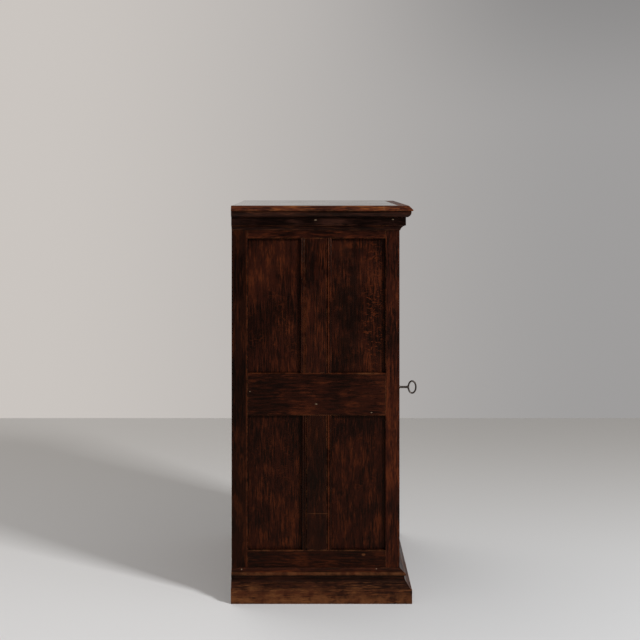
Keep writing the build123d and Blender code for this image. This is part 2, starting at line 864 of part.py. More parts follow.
for number, (low, high) in enumerate(drawer_spans, 1):
    front_z = (low + drawer_front_gap / 2, high - drawer_front_gap / 2)
    bottom_z = (low + drawer_bottom_rise, low + drawer_bottom_rise + drawer_bottom_thickness)
    side_z = (bottom_z[1], high - drawer_side_drop)
    side_y = (drawer_face_y + drawer_front_thickness, drawer_back_y)
    knob_z = sum(front_z) / 2
    tails = dovetail_sockets(*side_z, 0)
    sockets = dovetail_sockets(*side_z, joint_fit / 2)

    with BuildPart() as drawer_front:
        board(
            (-drawer_half_width, drawer_half_width),
            (drawer_face_y, drawer_face_y + drawer_front_thickness),
            front_z,
        )
        extrude(sockets, amount=drawer_side_thickness + joint_fit, mode=Mode.SUBTRACT)
        extrude(
            mirror(sockets, about=Plane.YZ, mode=Mode.PRIVATE),
            amount=-drawer_side_thickness - joint_fit,
            dir=(1, 0, 0),
            mode=Mode.SUBTRACT,
        )
    save(drawer_front, f"drawer_{number}_front")

    with BuildPart() as drawer_side:
        board((-drawer_half_width, drawer_side_thickness - drawer_half_width), side_y, side_z)
        extrude(tails, amount=drawer_side_thickness)
    with BuildPart() as drawer_back:
        board(
            (drawer_side_thickness - drawer_half_width, drawer_half_width - drawer_side_thickness),
            (drawer_back_y - drawer_side_thickness, drawer_back_y),
            side_z,
        )
    with BuildPart() as drawer_bottom:
        board(
            (-drawer_half_width - drawer_lip, drawer_half_width + drawer_lip),
            side_y,
            bottom_z,
        )
    save(
        [drawer_side.part, mirrored(drawer_side).part, drawer_back.part, drawer_bottom.part],
        f"drawer_{number}_tray",
    )
    save(drawer_knob(knob_z), f"drawer_{number}_knob")
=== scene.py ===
import math

import bmesh
import bpy
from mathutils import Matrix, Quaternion, Vector


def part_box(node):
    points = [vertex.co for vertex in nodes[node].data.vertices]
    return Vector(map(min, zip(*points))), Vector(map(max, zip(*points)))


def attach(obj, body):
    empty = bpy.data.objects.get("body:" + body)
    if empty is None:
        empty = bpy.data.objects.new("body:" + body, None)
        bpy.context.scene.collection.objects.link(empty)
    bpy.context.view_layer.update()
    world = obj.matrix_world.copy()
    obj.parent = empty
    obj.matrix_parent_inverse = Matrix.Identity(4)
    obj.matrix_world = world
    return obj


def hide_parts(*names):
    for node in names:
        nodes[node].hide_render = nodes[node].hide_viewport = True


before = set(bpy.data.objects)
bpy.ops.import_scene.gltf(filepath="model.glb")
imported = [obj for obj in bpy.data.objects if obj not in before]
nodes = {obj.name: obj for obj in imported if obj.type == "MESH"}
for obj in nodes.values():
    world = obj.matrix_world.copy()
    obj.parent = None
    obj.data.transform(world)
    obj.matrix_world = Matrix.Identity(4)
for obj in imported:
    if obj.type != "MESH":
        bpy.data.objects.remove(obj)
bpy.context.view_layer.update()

scene = bpy.context.scene
print("frame loaded,", len(nodes), "nodes")

# metres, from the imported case
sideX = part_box("left_stiles")[0].x
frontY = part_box("left_stiles")[0].y
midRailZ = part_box("lock_bolt")[0].z
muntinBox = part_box("left_muntins")
muntinY = (muntinBox[0].y + muntinBox[1].y) / 2


# camera at the photograph's viewing angle, square on to the left side
cameraPlace = {
    "lens": 71.9,
    "sensor": 36,
    "distance": 2.556,  # from the lens to the cabinet's side
    "y": 0.030,
    "height": 0.851,
    "shiftX": 0.0155,
    "shiftY": -0.2273,
}
cameraData = bpy.data.cameras.new("camera")
cameraData.lens = cameraPlace["lens"]
cameraData.sensor_width = cameraPlace["sensor"]
cameraData.shift_x = cameraPlace["shiftX"]
cameraData.shift_y = cameraPlace["shiftY"]
camera = bpy.data.objects.new("camera", cameraData)
camera.location = (sideX - cameraPlace["distance"], cameraPlace["y"], cameraPlace["height"])
camera.rotation_euler = (math.radians(90), 0, math.radians(-90))
scene.collection.objects.link(camera)
scene.camera = camera

# the photograph's pixels: the focal length, and the point straight ahead of the lens
photoScale = {"focalPixels": 1278.0, "centreX": 310.1, "centreY": 174.5}


def sidePlace(pixelX, pixelY, planeX=sideX):
    # where a mark seen at a pixel lies on the left side, or on a plane beside it
    depth = planeX - camera.location.x
    y = camera.location.y - (pixelX - photoScale["centreX"]) * depth / photoScale["focalPixels"]
    z = camera.location.z - (pixelY - photoScale["centreY"]) * depth / photoScale["focalPixels"]
    return Vector((planeX, y, z))


# small node helpers

def addNode(tree, kind, **settings):
    node = tree.nodes.new(kind)
    for key, value in settings.items():
        setattr(node, key, value)
    return node


def feed(tree, socket, value):
    if isinstance(value, bpy.types.NodeSocket):
        tree.links.new(value, socket)
    else:
        socket.default_value = value


def calc(tree, operation, first, second=0.0):
    node = addNode(tree, "ShaderNodeMath", operation=operation)
    feed(tree, node.inputs[0], first)
    feed(tree, node.inputs[1], second)
    return node.outputs[0]


def times(tree, first, second):
    return calc(tree, "MULTIPLY", first, second)


def weighedSum(tree, *parts):
    # values added up, each times its share
    total = None
    for value, share in parts:
        part = times(tree, value, share)
        total = part if total is None else calc(tree, "ADD", total, part)
    return total


def ramp(tree, factor, low, high, fromValue=0.0, toValue=1.0):
    node = addNode(tree, "ShaderNodeMapRange", interpolation_type="SMOOTHSTEP")
    feed(tree, node.inputs["Value"], factor)
    feed(tree, node.inputs["From Min"], low)
    feed(tree, node.inputs["From Max"], high)
    feed(tree, node.inputs["To Min"], fromValue)
    feed(tree, node.inputs["To Max"], toValue)
    return node.outputs["Result"]


def mixColour(tree, factor, first, second, blend="MIX"):
    node = addNode(tree, "ShaderNodeMix", data_type="RGBA", blend_type=blend)
    feed(tree, node.inputs[0], factor)
    feed(tree, node.inputs[6], first)
    feed(tree, node.inputs[7], second)
    return node.outputs[2]


def colour(red, green, blue):
    return (red, green, blue, 1.0)


def noise(tree, vector, scale, detail=2.0, roughness=0.5, distortion=0.0, output="Fac"):
    node = addNode(tree, "ShaderNodeTexNoise", noise_dimensions="3D")
    feed(tree, node.inputs["Vector"], vector)
    node.inputs["Scale"].default_value = scale
    node.inputs["Detail"].default_value = detail
    node.inputs["Roughness"].default_value = roughness
    node.inputs["Distortion"].default_value = distortion
    return node.outputs[output]


def stretched(tree, vector, scale):
    node = addNode(tree, "ShaderNodeVectorMath", operation="MULTIPLY")
    feed(tree, node.inputs[0], vector)
    node.inputs[1].default_value = scale
    return node.outputs[0]


def movedOn(tree, vector, amount, scale):
    # the vector, moved by an amount times the scale of each axis
    node = addNode(tree, "ShaderNodeVectorMath", operation="MULTIPLY_ADD")
    feed(tree, node.inputs[0], amount)
    node.inputs[1].default_value = scale
    feed(tree, node.inputs[2], vector)
    return node.outputs[0]


def splitAxes(tree, vector):
    node = addNode(tree, "ShaderNodeSeparateXYZ")
    feed(tree, node.inputs[0], vector)
    return dict(zip("XYZ", node.outputs))


def newMaterial(name):
    material = bpy.data.materials.new(name)
    material.use_nodes = True
    return material, material.node_tree, material.node_tree.nodes["Principled BSDF"]


def addBump(tree, shader, height, strength, distance):
    bump = addNode(tree, "ShaderNodeBump")
    bump.inputs["Strength"].default_value = strength
    bump.inputs["Distance"].default_value = distance
    tree.links.new(height, bump.inputs["Height"])
    tree.links.new(bump.outputs["Normal"], shader.inputs["Normal"])


maskSamples = 6
spotFade = (0.5, 1.1)  # where a soft spot starts to fade and where it ends, in its half sizes


def edgeMask(tree, radius, low, high):
    # white where the surface turns within the radius
    bevel = addNode(tree, "ShaderNodeBevel", samples=maskSamples)
    bevel.inputs["Radius"].default_value = radius
    geometry = addNode(tree, "ShaderNodeNewGeometry")
    dot = addNode(tree, "ShaderNodeVectorMath", operation="DOT_PRODUCT")
    tree.links.new(bevel.outputs["Normal"], dot.inputs[0])
    tree.links.new(geometry.outputs["Normal"], dot.inputs[1])
    return ramp(tree, calc(tree, "SUBTRACT", 1.0, dot.outputs["Value"]), low, high)


def cornerShadeMask(tree, distance, low, high):
    # white in the corners, where wax and dust collect and where shade falls
    occlusion = addNode(tree, "ShaderNodeAmbientOcclusion", samples=maskSamples)
    occlusion.inputs["Distance"].default_value = distance
    return ramp(tree, occlusion.outputs["AO"], low, high, 1.0, 0.0)


def spotMask(tree, coordinates, place, size):
    # white inside a soft ellipse at a place on the surface
    offset = addNode(tree, "ShaderNodeVectorMath", operation="SUBTRACT")
    feed(tree, offset.inputs[0], coordinates)
    offset.inputs[1].default_value = place
    scaled = stretched(tree, offset.outputs[0], [1.0 / side for side in size])
    length = addNode(tree, "ShaderNodeVectorMath", operation="LENGTH")
    feed(tree, length.inputs[0], scaled)
    return ramp(tree, length.outputs["Value"], *spotFade, 1.0, 0.0)


# dark stained oak, with its own tint, grain and wear for each kind of board
oakLook = {
    "dark": colour(0.0030, 0.0010, 0.0008),
    "body": colour(0.0205, 0.0040, 0.0019),
    "warm": colour(0.0590, 0.0125, 0.0038),
    "worn": colour(0.1250, 0.0440, 0.0155),
    "pore": colour(0.0014, 0.0007, 0.0006),
    "level": 1.0,
    "roughness": (0.32, 0.50),
    "specular": 0.11,
    "sheenTint": colour(1.0, 0.62, 0.45),
    "fleck": 0.0,
    "wear": 0.70,
    "bump": 0.35,
}
panelLook = dict(oakLook, fleck=1.0, wear=0.15)
muntinLook = dict(oakLook, wear=0.75, roughness=(0.30, 0.42), specular=0.13)
mouldLook = dict(oakLook, wear=0.70, roughness=(0.28, 0.42), specular=0.16)
mouldLook["body"] = colour(0.0200, 0.0056, 0.0036)
mouldLook["warm"] = colour(0.0560, 0.0165, 0.0070)
coveLook = dict(mouldLook, specular=0.08)
fasciaLook = dict(oakLook, wear=0.12, level=0.55)
fasciaLook["body"] = colour(0.0200, 0.0064, 0.0050)
fasciaLook["warm"] = colour(0.0520, 0.0175, 0.0110)
plinthMouldLook = dict(oakLook, wear=0.70, level=1.06, roughness=(0.28, 0.42), specular=0.16)
plinthMouldLook["stop"] = colour(0.2300, 0.1650, 0.1050)
plinthLook = dict(oakLook, wear=0.60, level=2.55)
plinthLook["body"] = colour(0.0200, 0.0052, 0.0021)
plinthLook["warm"] = colour(0.0560, 0.0205, 0.0066)
topLook = dict(oakLook, wear=0.20, roughness=(0.06, 0.11), specular=0.5, bump=0.03)
edgingLook = dict(oakLook, wear=0.80, level=3.9, roughness=(0.30, 0.44), specular=0.05)
edgingLook["body"] = colour(0.0200, 0.0049, 0.0020)
edgingLook["warm"] = colour(0.0470, 0.0150, 0.0042)
edgingLook["worn"] = colour(0.1700, 0.0750, 0.0300)
drawerLook = dict(oakLook, wear=0.35, level=1.5, roughness=(0.34, 0.50))
knobLook = dict(oakLook, wear=0.45, level=1.8, roughness=(0.36, 0.48), specular=0.20)

# bare oak inside the case
insideLook = {
    "dark": colour(0.0950, 0.0480, 0.0220),
    "body": colour(0.1750, 0.0900, 0.0430),
    "warm": colour(0.2500, 0.1350, 0.0640),
    "worn": colour(0.3300, 0.2050, 0.1100),
    "pore": colour(0.0700, 0.0340, 0.0160),
    "level": 1.0,
    "roughness": (0.60, 0.78),
    "specular": 0.30,
    "sheenTint": colour(1.0, 1.0, 1.0),
    "fleck": 0.0,
    "wear": 0.3,
    "bump": 0.5,
}
trayLook = dict(insideLook)
trayLook["dark"] = colour(0.2100, 0.1180, 0.0570)
trayLook["body"] = colour(0.3100, 0.1850, 0.0950)
trayLook["warm"] = colour(0.3900, 0.2450, 0.1300)
backLook = dict(insideLook, wear=0.2, roughness=(0.70, 0.86))
backLook["dark"] = colour(0.0480, 0.0210, 0.0098)
backLook["body"] = colour(0.0950, 0.0420, 0.0195)
backLook["warm"] = colour(0.1550, 0.0740, 0.0350)

# the wood's figure: each noise has its scale per metre, detail, roughness and distortion
woodFigure = {
    "drift": (6.0, 2.0),
    "bands": (290.0, 3.0, 0.62),
    "fibres": (560.0, 3.0, 0.70),
    "pores": (1000.0, 1.0, 0.4),
    "cloud": (9.0, 3.0, 0.6),
    "glow": (85.0, 3.0, 0.6),
    "fleck": (190.0, 2.0, 0.55, 1.6),
    "fleckPatches": (24.0, 2.0),
    "rub": (60.0, 3.0, 0.6),
    "dents": (38.0, 2.0, 0.5),
    "grainSqueeze": 0.080,  # how far the figure is drawn out along the board
    "driftSqueeze": 0.356,
    "glowSqueeze": 0.264,
    "fleckSqueeze": 0.45,  # the fleck is drawn out across it
    "waviness": 0.016,
}
# where each noise starts and stops to count
woodRange = {
    "bands": (0.32, 0.68),
    "fibres": (0.34, 0.66),
    "cloud": (0.34, 0.66),
    "pores": (0.58, 0.68),
    "base": (0.18, 0.70),
    "glow": (0.42, 0.64),
    "glowTone": (0.42, 0.80),
    "fleck": (0.54, 0.66),
    "fleckPatches": (0.50, 0.66),
    "dents": (0.66, 0.80),
    "sheen": (0.38, 0.62),
}
woodShare = {
    "bands": 0.34,
    "fibres": 0.34,
    "cloud": 0.36,
    "pores": 0.6,
    "fleckPatches": 0.45,
    "cloudSheen": 0.6,
    "fibreSheen": 0.4,
    "cornerDulls": 0.18,
}
woodRelief = {
    "fibres": 0.6,
    "pores": -0.8,
    "dents": -1.2,
    "cloud": 1.5,
    "distance": 0.00035,
}
woodWear = {
    "edgeRadius": 0.0022,
    "edgeTurn": (0.01, 0.14),
    "edgeBreaks": (0.42, 0.62),
    # dust and wax in the corners, with painted shade there: the mask's reach, its range and its
    # strength
    "cornerReach": 0.010,
    "cornerShade": (0.30, 0.80),
    "dirtAndShade": 0.75,
    "scuffStart": 0.004,
    "scuffStrength": 0.8,
    "scuffBreaks": (0.30, 0.68),
    "lineCore": 0.5,  # the share of a line's half width that isn't soft
    "lineBreaks": (0.36, 0.62, 0.25, 1.0),
    "warmCover": (0.30, 0.70),
    "brokenCover": (0.25, 0.60),
}
# what moves the figure on, so that no two boards are alike
boardShift = {
    "seedStep": 1.37,
    "perSeed": (0.731, 0.517, 0.893),
    "perLetter": 0.0137,  # from the letters of the node's name
    "letterAxes": (1.0, 0.7, 0.4),
}
trayBackThickness = 0.0081


def drawnOut(run, along, across=1.0):
    # the scale of each axis for a figure that runs along one of them
    return [along if axis == run else across for axis in "XYZ"]


def boardSeed(tree, position, cuts):
    # a number that steps at each cut, so that boards sharing a node get their own grain
    seed = 0.0
    for index, (axis, place) in enumerate(cuts):
        above = calc(tree, "GREATER_THAN", position[axis], place)
        seed = calc(tree, "ADD", seed, times(tree, above, boardShift["seedStep"] * (index + 1)))
    return seed


def turnedGrain(tree, along, coordinates, position):
    # the grain turned with the mitred front length, or with a tray's back
    swap = addNode(tree, "ShaderNodeCombineXYZ")
    for socket, axis in zip(swap.inputs, "YXZ"):
        tree.links.new(position[axis], socket)
    if along == "runs":
        beyondSide = calc(tree, "SUBTRACT", calc(tree, "ABSOLUTE", position["X"]), abs(sideX))
        beyondFront = calc(tree, "SUBTRACT", frontY, position["Y"])
        turned = calc(tree, "GREATER_THAN", beyondFront, beyondSide)
    else:
        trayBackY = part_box("drawer_1_tray")[1].y - trayBackThickness
        turned = calc(tree, "GREATER_THAN", position["Y"], trayBackY)
    choose = addNode(tree, "ShaderNodeMix", data_type="VECTOR")
    feed(tree, choose.inputs[0], turned)
    feed(tree, choose.inputs[4], coordinates)
    feed(tree, choose.inputs[5], swap.outputs[0])
    return choose.outputs[1]


def grainCoordinates(tree, name, along, cuts, coordinates, position):
    # object coordinates turned with the grain and moved on for each board
    grain = coordinates
    if along in ("runs", "tray"):
        grain = turnedGrain(tree, along, coordinates, position)
    if cuts:
        grain = movedOn(tree, grain, boardSeed(tree, position, cuts), boardShift["perSeed"])
    own = addNode(tree, "ShaderNodeVectorMath", operation="ADD")
    feed(tree, own.inputs[0], grain)
    ownPlace = sum(ord(letter) for letter in name) * boardShift["perLetter"]
    own.inputs[1].default_value = [ownPlace * share for share in boardShift["letterAxes"]]
    return own.outputs[0]


def fleckCover(tree, grain, run, coordinates, fleckPlace):
    # silvery ray fleck, redder than the grain and lying across it
    across = stretched(tree, grain, drawnOut(run, 1.0, woodFigure["fleckSqueeze"]))
    flecks = ramp(tree, noise(tree, across, *woodFigure["fleck"]), *woodRange["fleck"])
    patches = noise(tree, grain, *woodFigure["fleckPatches"])
    patches = ramp(tree, patches, *woodRange["fleckPatches"])
    patches = times(tree, patches, woodShare["fleckPatches"])
    if fleckPlace:
        patches = calc(tree, "MAXIMUM", patches, spotMask(tree, coordinates, *fleckPlace))
    return times(tree, flecks, patches)


def boardLevel(tree, level, shades, position):
    # how light the wood is, with a step at each place where one board differs from the next
    for axis, place, under, over in shades:
        above = calc(tree, "GREATER_THAN", position[axis], place)
        step = calc(tree, "ADD", times(tree, above, over - under), under)
        level = times(tree, level, step)
    return level


def addLines(tree, base, look, lines, position, rub):
    # wear, dirt, painted highlights and painted shade that follow an arris, a bead or a quirk
    for axis, place, halfWidth, tint, strength in lines:
        away = calc(tree, "ABSOLUTE", calc(tree, "SUBTRACT", position[axis], place))
        broken = ramp(tree, rub, *woodWear["lineBreaks"]) if tint in ("worn", "warm") else 1.0
        core = halfWidth * woodWear["lineCore"]
        line = times(tree, ramp(tree, away, core, halfWidth, strength, 0.0), broken)
        base = mixColour(tree, line, base, look[tint])
    return base


def addMarks(tree, base, look, marks, coordinates, tone, rub):
    # filler covers all, colour in the wood follows the grain, and the rest is broken up
    for place, size, tint, strength in marks:
        if tint == "stop":
            cover = 1.0
        elif tint == "warm":
            cover = ramp(tree, tone, *woodWear["warmCover"])
        else:
            cover = ramp(tree, rub, *woodWear["brokenCover"])
        spot = times(tree, spotMask(tree, coordinates, place, size), cover)
        base = mixColour(tree, times(tree, spot, strength), base, look[tint])
    return base


def woodMaterial(name, look, along, cuts=(), marks=(), lines=(), shades=(),
                 fleckPlace=None, scuffHeight=None):
    material, tree, shader = newMaterial(name)
    coordinates = addNode(tree, "ShaderNodeTexCoord").outputs["Object"]
    position = splitAxes(tree, coordinates)
    grain = grainCoordinates(tree, name, along, cuts, coordinates, position)
    run = along if along in ("X", "Y", "Z") else "Y"

    # bands, fibres and pores along the board, and slow changes over it
    fine = stretched(tree, grain, drawnOut(run, woodFigure["grainSqueeze"]))
    slow = stretched(tree, grain, drawnOut(run, woodFigure["driftSqueeze"]))
    drift = noise(tree, slow, *woodFigure["drift"], output="Color")
    waving = movedOn(tree, fine, drift, [woodFigure["waviness"]] * 3)
    bands = noise(tree, waving, *woodFigure["bands"])
    fibres = noise(tree, waving, *woodFigure["fibres"])
    pores = ramp(tree, noise(tree, fine, *woodFigure["pores"]), *woodRange["pores"])
    cloud = noise(tree, grain, *woodFigure["cloud"])
    glowing = stretched(tree, grain, drawnOut(run, woodFigure["glowSqueeze"]))
    glow = noise(tree, glowing, *woodFigure["glow"])
    tone = weighedSum(
        tree,
        (ramp(tree, bands, *woodRange["bands"]), woodShare["bands"]),
        (ramp(tree, fibres, *woodRange["fibres"]), woodShare["fibres"]),
        (ramp(tree, cloud, *woodRange["cloud"]), woodShare["cloud"]),
    )
    base = mixColour(tree, ramp(tree, tone, *woodRange["base"]), look["dark"], look["body"])
    heat = times(tree, ramp(tree, glow, *woodRange["glow"]), ramp(tree, tone, *woodRange["glowTone"]))
    base = mixColour(tree, heat, base, look["warm"])
    if look["fleck"]:
        flecks = times(tree, fleckCover(tree, grain, run, coordinates, fleckPlace), look["fleck"])
        base = mixColour(tree, flecks, base, look["warm"])
    base = mixColour(tree, times(tree, pores, woodShare["pores"]), base, look["pore"])

    lift = addNode(tree, "ShaderNodeVectorMath", operation="SCALE")
    feed(tree, lift.inputs[0], base)
    feed(tree, lift.inputs["Scale"], boardLevel(tree, look["level"], shades, position))
    base = lift.outputs[0]

    # rubbed edges, dust and wax with painted shade in the corners, and scuffs above the floor
    rub = noise(tree, grain, *woodFigure["rub"])
    edges = edgeMask(tree, woodWear["edgeRadius"], *woodWear["edgeTurn"])
    edges = times(tree, edges, ramp(tree, rub, *woodWear["edgeBreaks"]))
    base = mixColour(tree, times(tree, edges, look["wear"]), base, look["worn"])
    # the corners are darkened by the occlusion mask: dust and wax, and painted shade
    dirtAndShade = cornerShadeMask(tree, woodWear["cornerReach"], *woodWear["cornerShade"])
    base = mixColour(tree, times(tree, dirtAndShade, woodWear["dirtAndShade"]), base, look["dark"])
    if scuffHeight:
        start, strength = woodWear["scuffStart"], woodWear["scuffStrength"]
        low = ramp(tree, position["Z"], start, scuffHeight, strength, 0.0)
        scuffs = times(tree, low, ramp(tree, rub, *woodWear["scuffBreaks"]))
        base = mixColour(tree, scuffs, base, look["worn"])
    base = addLines(tree, base, look, lines, position, rub)
    base = addMarks(tree, base, look, marks, coordinates, tone, rub)
    tree.links.new(base, shader.inputs["Base Color"])

    smooth, dull = look["roughness"]
    sheen = weighedSum(tree, (cloud, woodShare["cloudSheen"]), (fibres, woodShare["fibreSheen"]))
    roughness = ramp(tree, sheen, *woodRange["sheen"], smooth, dull)
    roughness = calc(tree, "ADD", roughness, times(tree, dirtAndShade, woodShare["cornerDulls"]))
    tree.links.new(roughness, shader.inputs["Roughness"])
    shader.inputs["Specular IOR Level"].default_value = look["specular"]
    shader.inputs["Specular Tint"].default_value = look["sheenTint"]

    dents = ramp(tree, noise(tree, grain, *woodFigure["dents"]), *woodRange["dents"])
    height = weighedSum(
        tree, (fibres, woodRelief["fibres"]), (pores, woodRelief["pores"]),
        (dents, woodRelief["dents"]), (cloud, woodRelief["cloud"]))
    addBump(tree, shader, height, look["bump"], woodRelief["distance"])
    return material


# old metal: brass gone brown, and iron gone dark
brassLook = {
    "bright": colour(0.330, 0.210, 0.085),
    "dull": colour(0.130, 0.080, 0.036),
    "roughness": (0.36, 0.55),
    "bump": 0.12,
}
ironLook = {
    "bright": colour(0.200, 0.175, 0.155),
    "dull": colour(0.050, 0.038, 0.032),
    "roughness": (0.32, 0.60),
    "bump": 0.25,
}
metalFigure = {
    "tarnish": (240.0, 4.0, 0.6),
    "pits": (1500.0, 2.0, 0.5),
    "edgeRadius": 0.0008,
    "edgeTurn": (0.03, 0.35),
    "edgeShine": 0.5,
    "shine": (0.38, 0.72, 0.0, 0.6),
    "dulling": (0.35, 0.65),
    "pitDepth": 0.0001,
}


def metalMaterial(name, look):
    material, tree, shader = newMaterial(name)
    coordinates = addNode(tree, "ShaderNodeTexCoord").outputs["Object"]
    tarnish = noise(tree, coordinates, *metalFigure["tarnish"])
    pits = noise(tree, coordinates, *metalFigure["pits"])
    edges = edgeMask(tree, metalFigure["edgeRadius"], *metalFigure["edgeTurn"])
    shine = ramp(tree, tarnish, *metalFigure["shine"])
    shine = calc(tree, "ADD", shine, times(tree, edges, metalFigure["edgeShine"]))
    base = mixColour(tree, shine, look["dull"], look["bright"])
    tree.links.new(base, shader.inputs["Base Color"])
    shader.inputs["Metallic"].default_value = 1.0
    smooth, dull = look["roughness"]
    roughness = ramp(tree, tarnish, *metalFigure["dulling"], dull, smooth)
    tree.links.new(roughness, shader.inputs["Roughness"])
    addBump(tree, shader, pits, look["bump"], metalFigure["pitDepth"])
    return material


brass = metalMaterial("old brass", brassLook)
iron = metalMaterial("dark iron", ironLook)


# where the boards of a node part, in metres
seams = {
    "stiles": (("Y", 0.0),),
    "rails": (("Z", 0.25), ("Z", 0.60)),
    "muntins": (("Z", midRailZ),),
    "casePanels": (("Y", muntinY), ("Z", midRailZ)),
    "doorPanels": (("X", 0.0), ("Z", midRailZ)),
    "backBoards": (("X", -0.109), ("X", 0.0), ("X", 0.109)),
    "trays": (("X", 0.0),),
}
plinthArrisZ = 0.0272  # the plinth's face ends here and its slope begins

# where one board is lighter or darker than the next, and the plinth's slope darker than its face: axis,
# place, level under it and over it
boardShades = {
    "stiles": (("Y", 0.0, 1.25, 0.50),),
    "rails": (("Z", 0.60, 0.85, 1.0), ("Z", 0.25, 0.84, 1.0)),
    "muntins": (("Z", midRailZ, 0.52, 1.03),),
    "panels": (("Z", midRailZ, 0.89, 1.05),),
    # the plinth's slope, above its arris and under the moulding, is darker than its face
    "plinth": (("Z", plinthArrisZ, 1.0, 0.62),),
    "backBoards": (("X", -0.109, 0.85, 1.0), ("X", 0.0, 1.0, 0.8), ("X", 0.109, 1.0, 1.3)),
}

# marks on the left side: the photograph's pixel, how far the marked face stands out of the
# side, the half sizes in metres, the colour and its strength
sideMarks = {
    "stilePatch": ((249.5, 549.0), 0.0, (0.02, 0.006, 0.0022), "worn", 0.8),
    "railKnot": ((363.5, 554.5), 0.0, (0.02, 0.0045, 0.0030), "worn", 0.6),
    "railRub": ((367.0, 373.6), 0.0, (0.02, 0.030, 0.0020), "worn", 0.55),
    "muntinScratch": ((318.0, 513.5), 0.0, (0.02, 0.0250, 0.0008), "worn", 0.6),
    "muntinGlow": ((322.5, 258.0), 0.0, (0.02, 0.013, 0.036), "warm", 0.85),
    # the beads at the lower muntin's back edge are darker
    "darkBackBeads": ((303.2, 482.0), 0.0, (0.02, 0.0056, 0.20), "dark", 0.8),
    "panelShade": ((348.0, 305.0), 0.0, (0.04, 0.034, 0.175), "dark", 0.80),
    "upperPanelGlow": ((357.0, 245.5), 0.0, (0.04, 0.028, 0.008), "warm", 0.80),
    "backPanelGlow": ((286.0, 543.0), 0.0, (0.04, 0.016, 0.011), "warm", 1.0),
    "frontPanelGlow": ((367.0, 543.5), 0.0, (0.04, 0.012, 0.007), "warm", 0.70),
    "edgingChip": ((384.0, 208.0), 0.022, (0.02, 0.0012, 0.006), "worn", 0.7),
    "backStop": ((241.5, 570.0), 0.009, (0.01, 0.0018, 0.0014), "stop", 0.9),
    "frontStop": ((376.5, 569.6), 0.009, (0.01, 0.0016, 0.0013), "stop", 0.9),
    "plinthBruise": ((323.5, 586.0), 0.022, (0.01, 0.0060, 0.0042), "dark", 0.85),
    "plinthStain": ((344.0, 586.5), 0.022, (0.01, 0.0130, 0.0035), "dark", 0.5),
    "plinthScrape": ((370.0, 586.5), 0.022, (0.01, 0.0110, 0.0008), "worn", 0.8),
}
panelFleck = {"pixel": (374.0, 305.0), "size": (0.04, 0.030, 0.170)}
fleckOnPanel = (sidePlace(*panelFleck["pixel"]), panelFleck["size"])


def marksAt(*names):
    marks = []
    for name in names:
        pixel, standsOut, size, tint, strength = sideMarks[name]
        marks.append((sidePlace(*pixel, sideX - standsOut), size, tint, strength))
    return marks


# wear and dirt along arrises and quirks, and painted highlights and painted shade along some of them:
# axis, place, half width, colour and strength
arrisPixels = {"stile": (246.4, 300.0), "midRail": (300.0, 373.4), "bottomRail": (300.0, 550.6)}
beadCrest = 0.0063  # from a muntin's edge to the crest of its inner bead
wearAndLightLines = {
    # a painted highlight along the back stile's inner arris, which faces the lamp, with some wear
    "stiles": (("Y", sidePlace(*arrisPixels["stile"]).y, 0.0014, "warm", 0.75),),
    "rails": (
        ("Z", sidePlace(*arrisPixels["midRail"]).z, 0.0014, "warm", 0.70),
        ("Z", sidePlace(*arrisPixels["bottomRail"]).z, 0.0014, "worn", 0.30),
    ),
    "muntins": (
        # painted highlights along the crests of the muntins' inner beads
        ("Y", muntinBox[0].y + beadCrest, 0.0026, "warm", 0.85),
        ("Y", muntinBox[1].y - beadCrest, 0.0020, "warm", 0.50),
    ),
    "moulding": (
        ("Z", 0.0552, 0.0046, "worn", 0.55),
        # painted shade in the plinth moulding's lower cove
        ("Z", 0.0456, 0.0052, "dark", 0.65),
        # dirt and painted shade in the quirk under the bead
        ("Z", 0.0505, 0.0014, "pore", 1.00),
        ("Z", 0.0402, 0.0012, "pore", 0.70),
    ),
    "plinth": (("Z", plinthArrisZ, 0.0014, "worn", 0.40),),
}
plinthScuffHeight = 0.034
drawerCount = 8

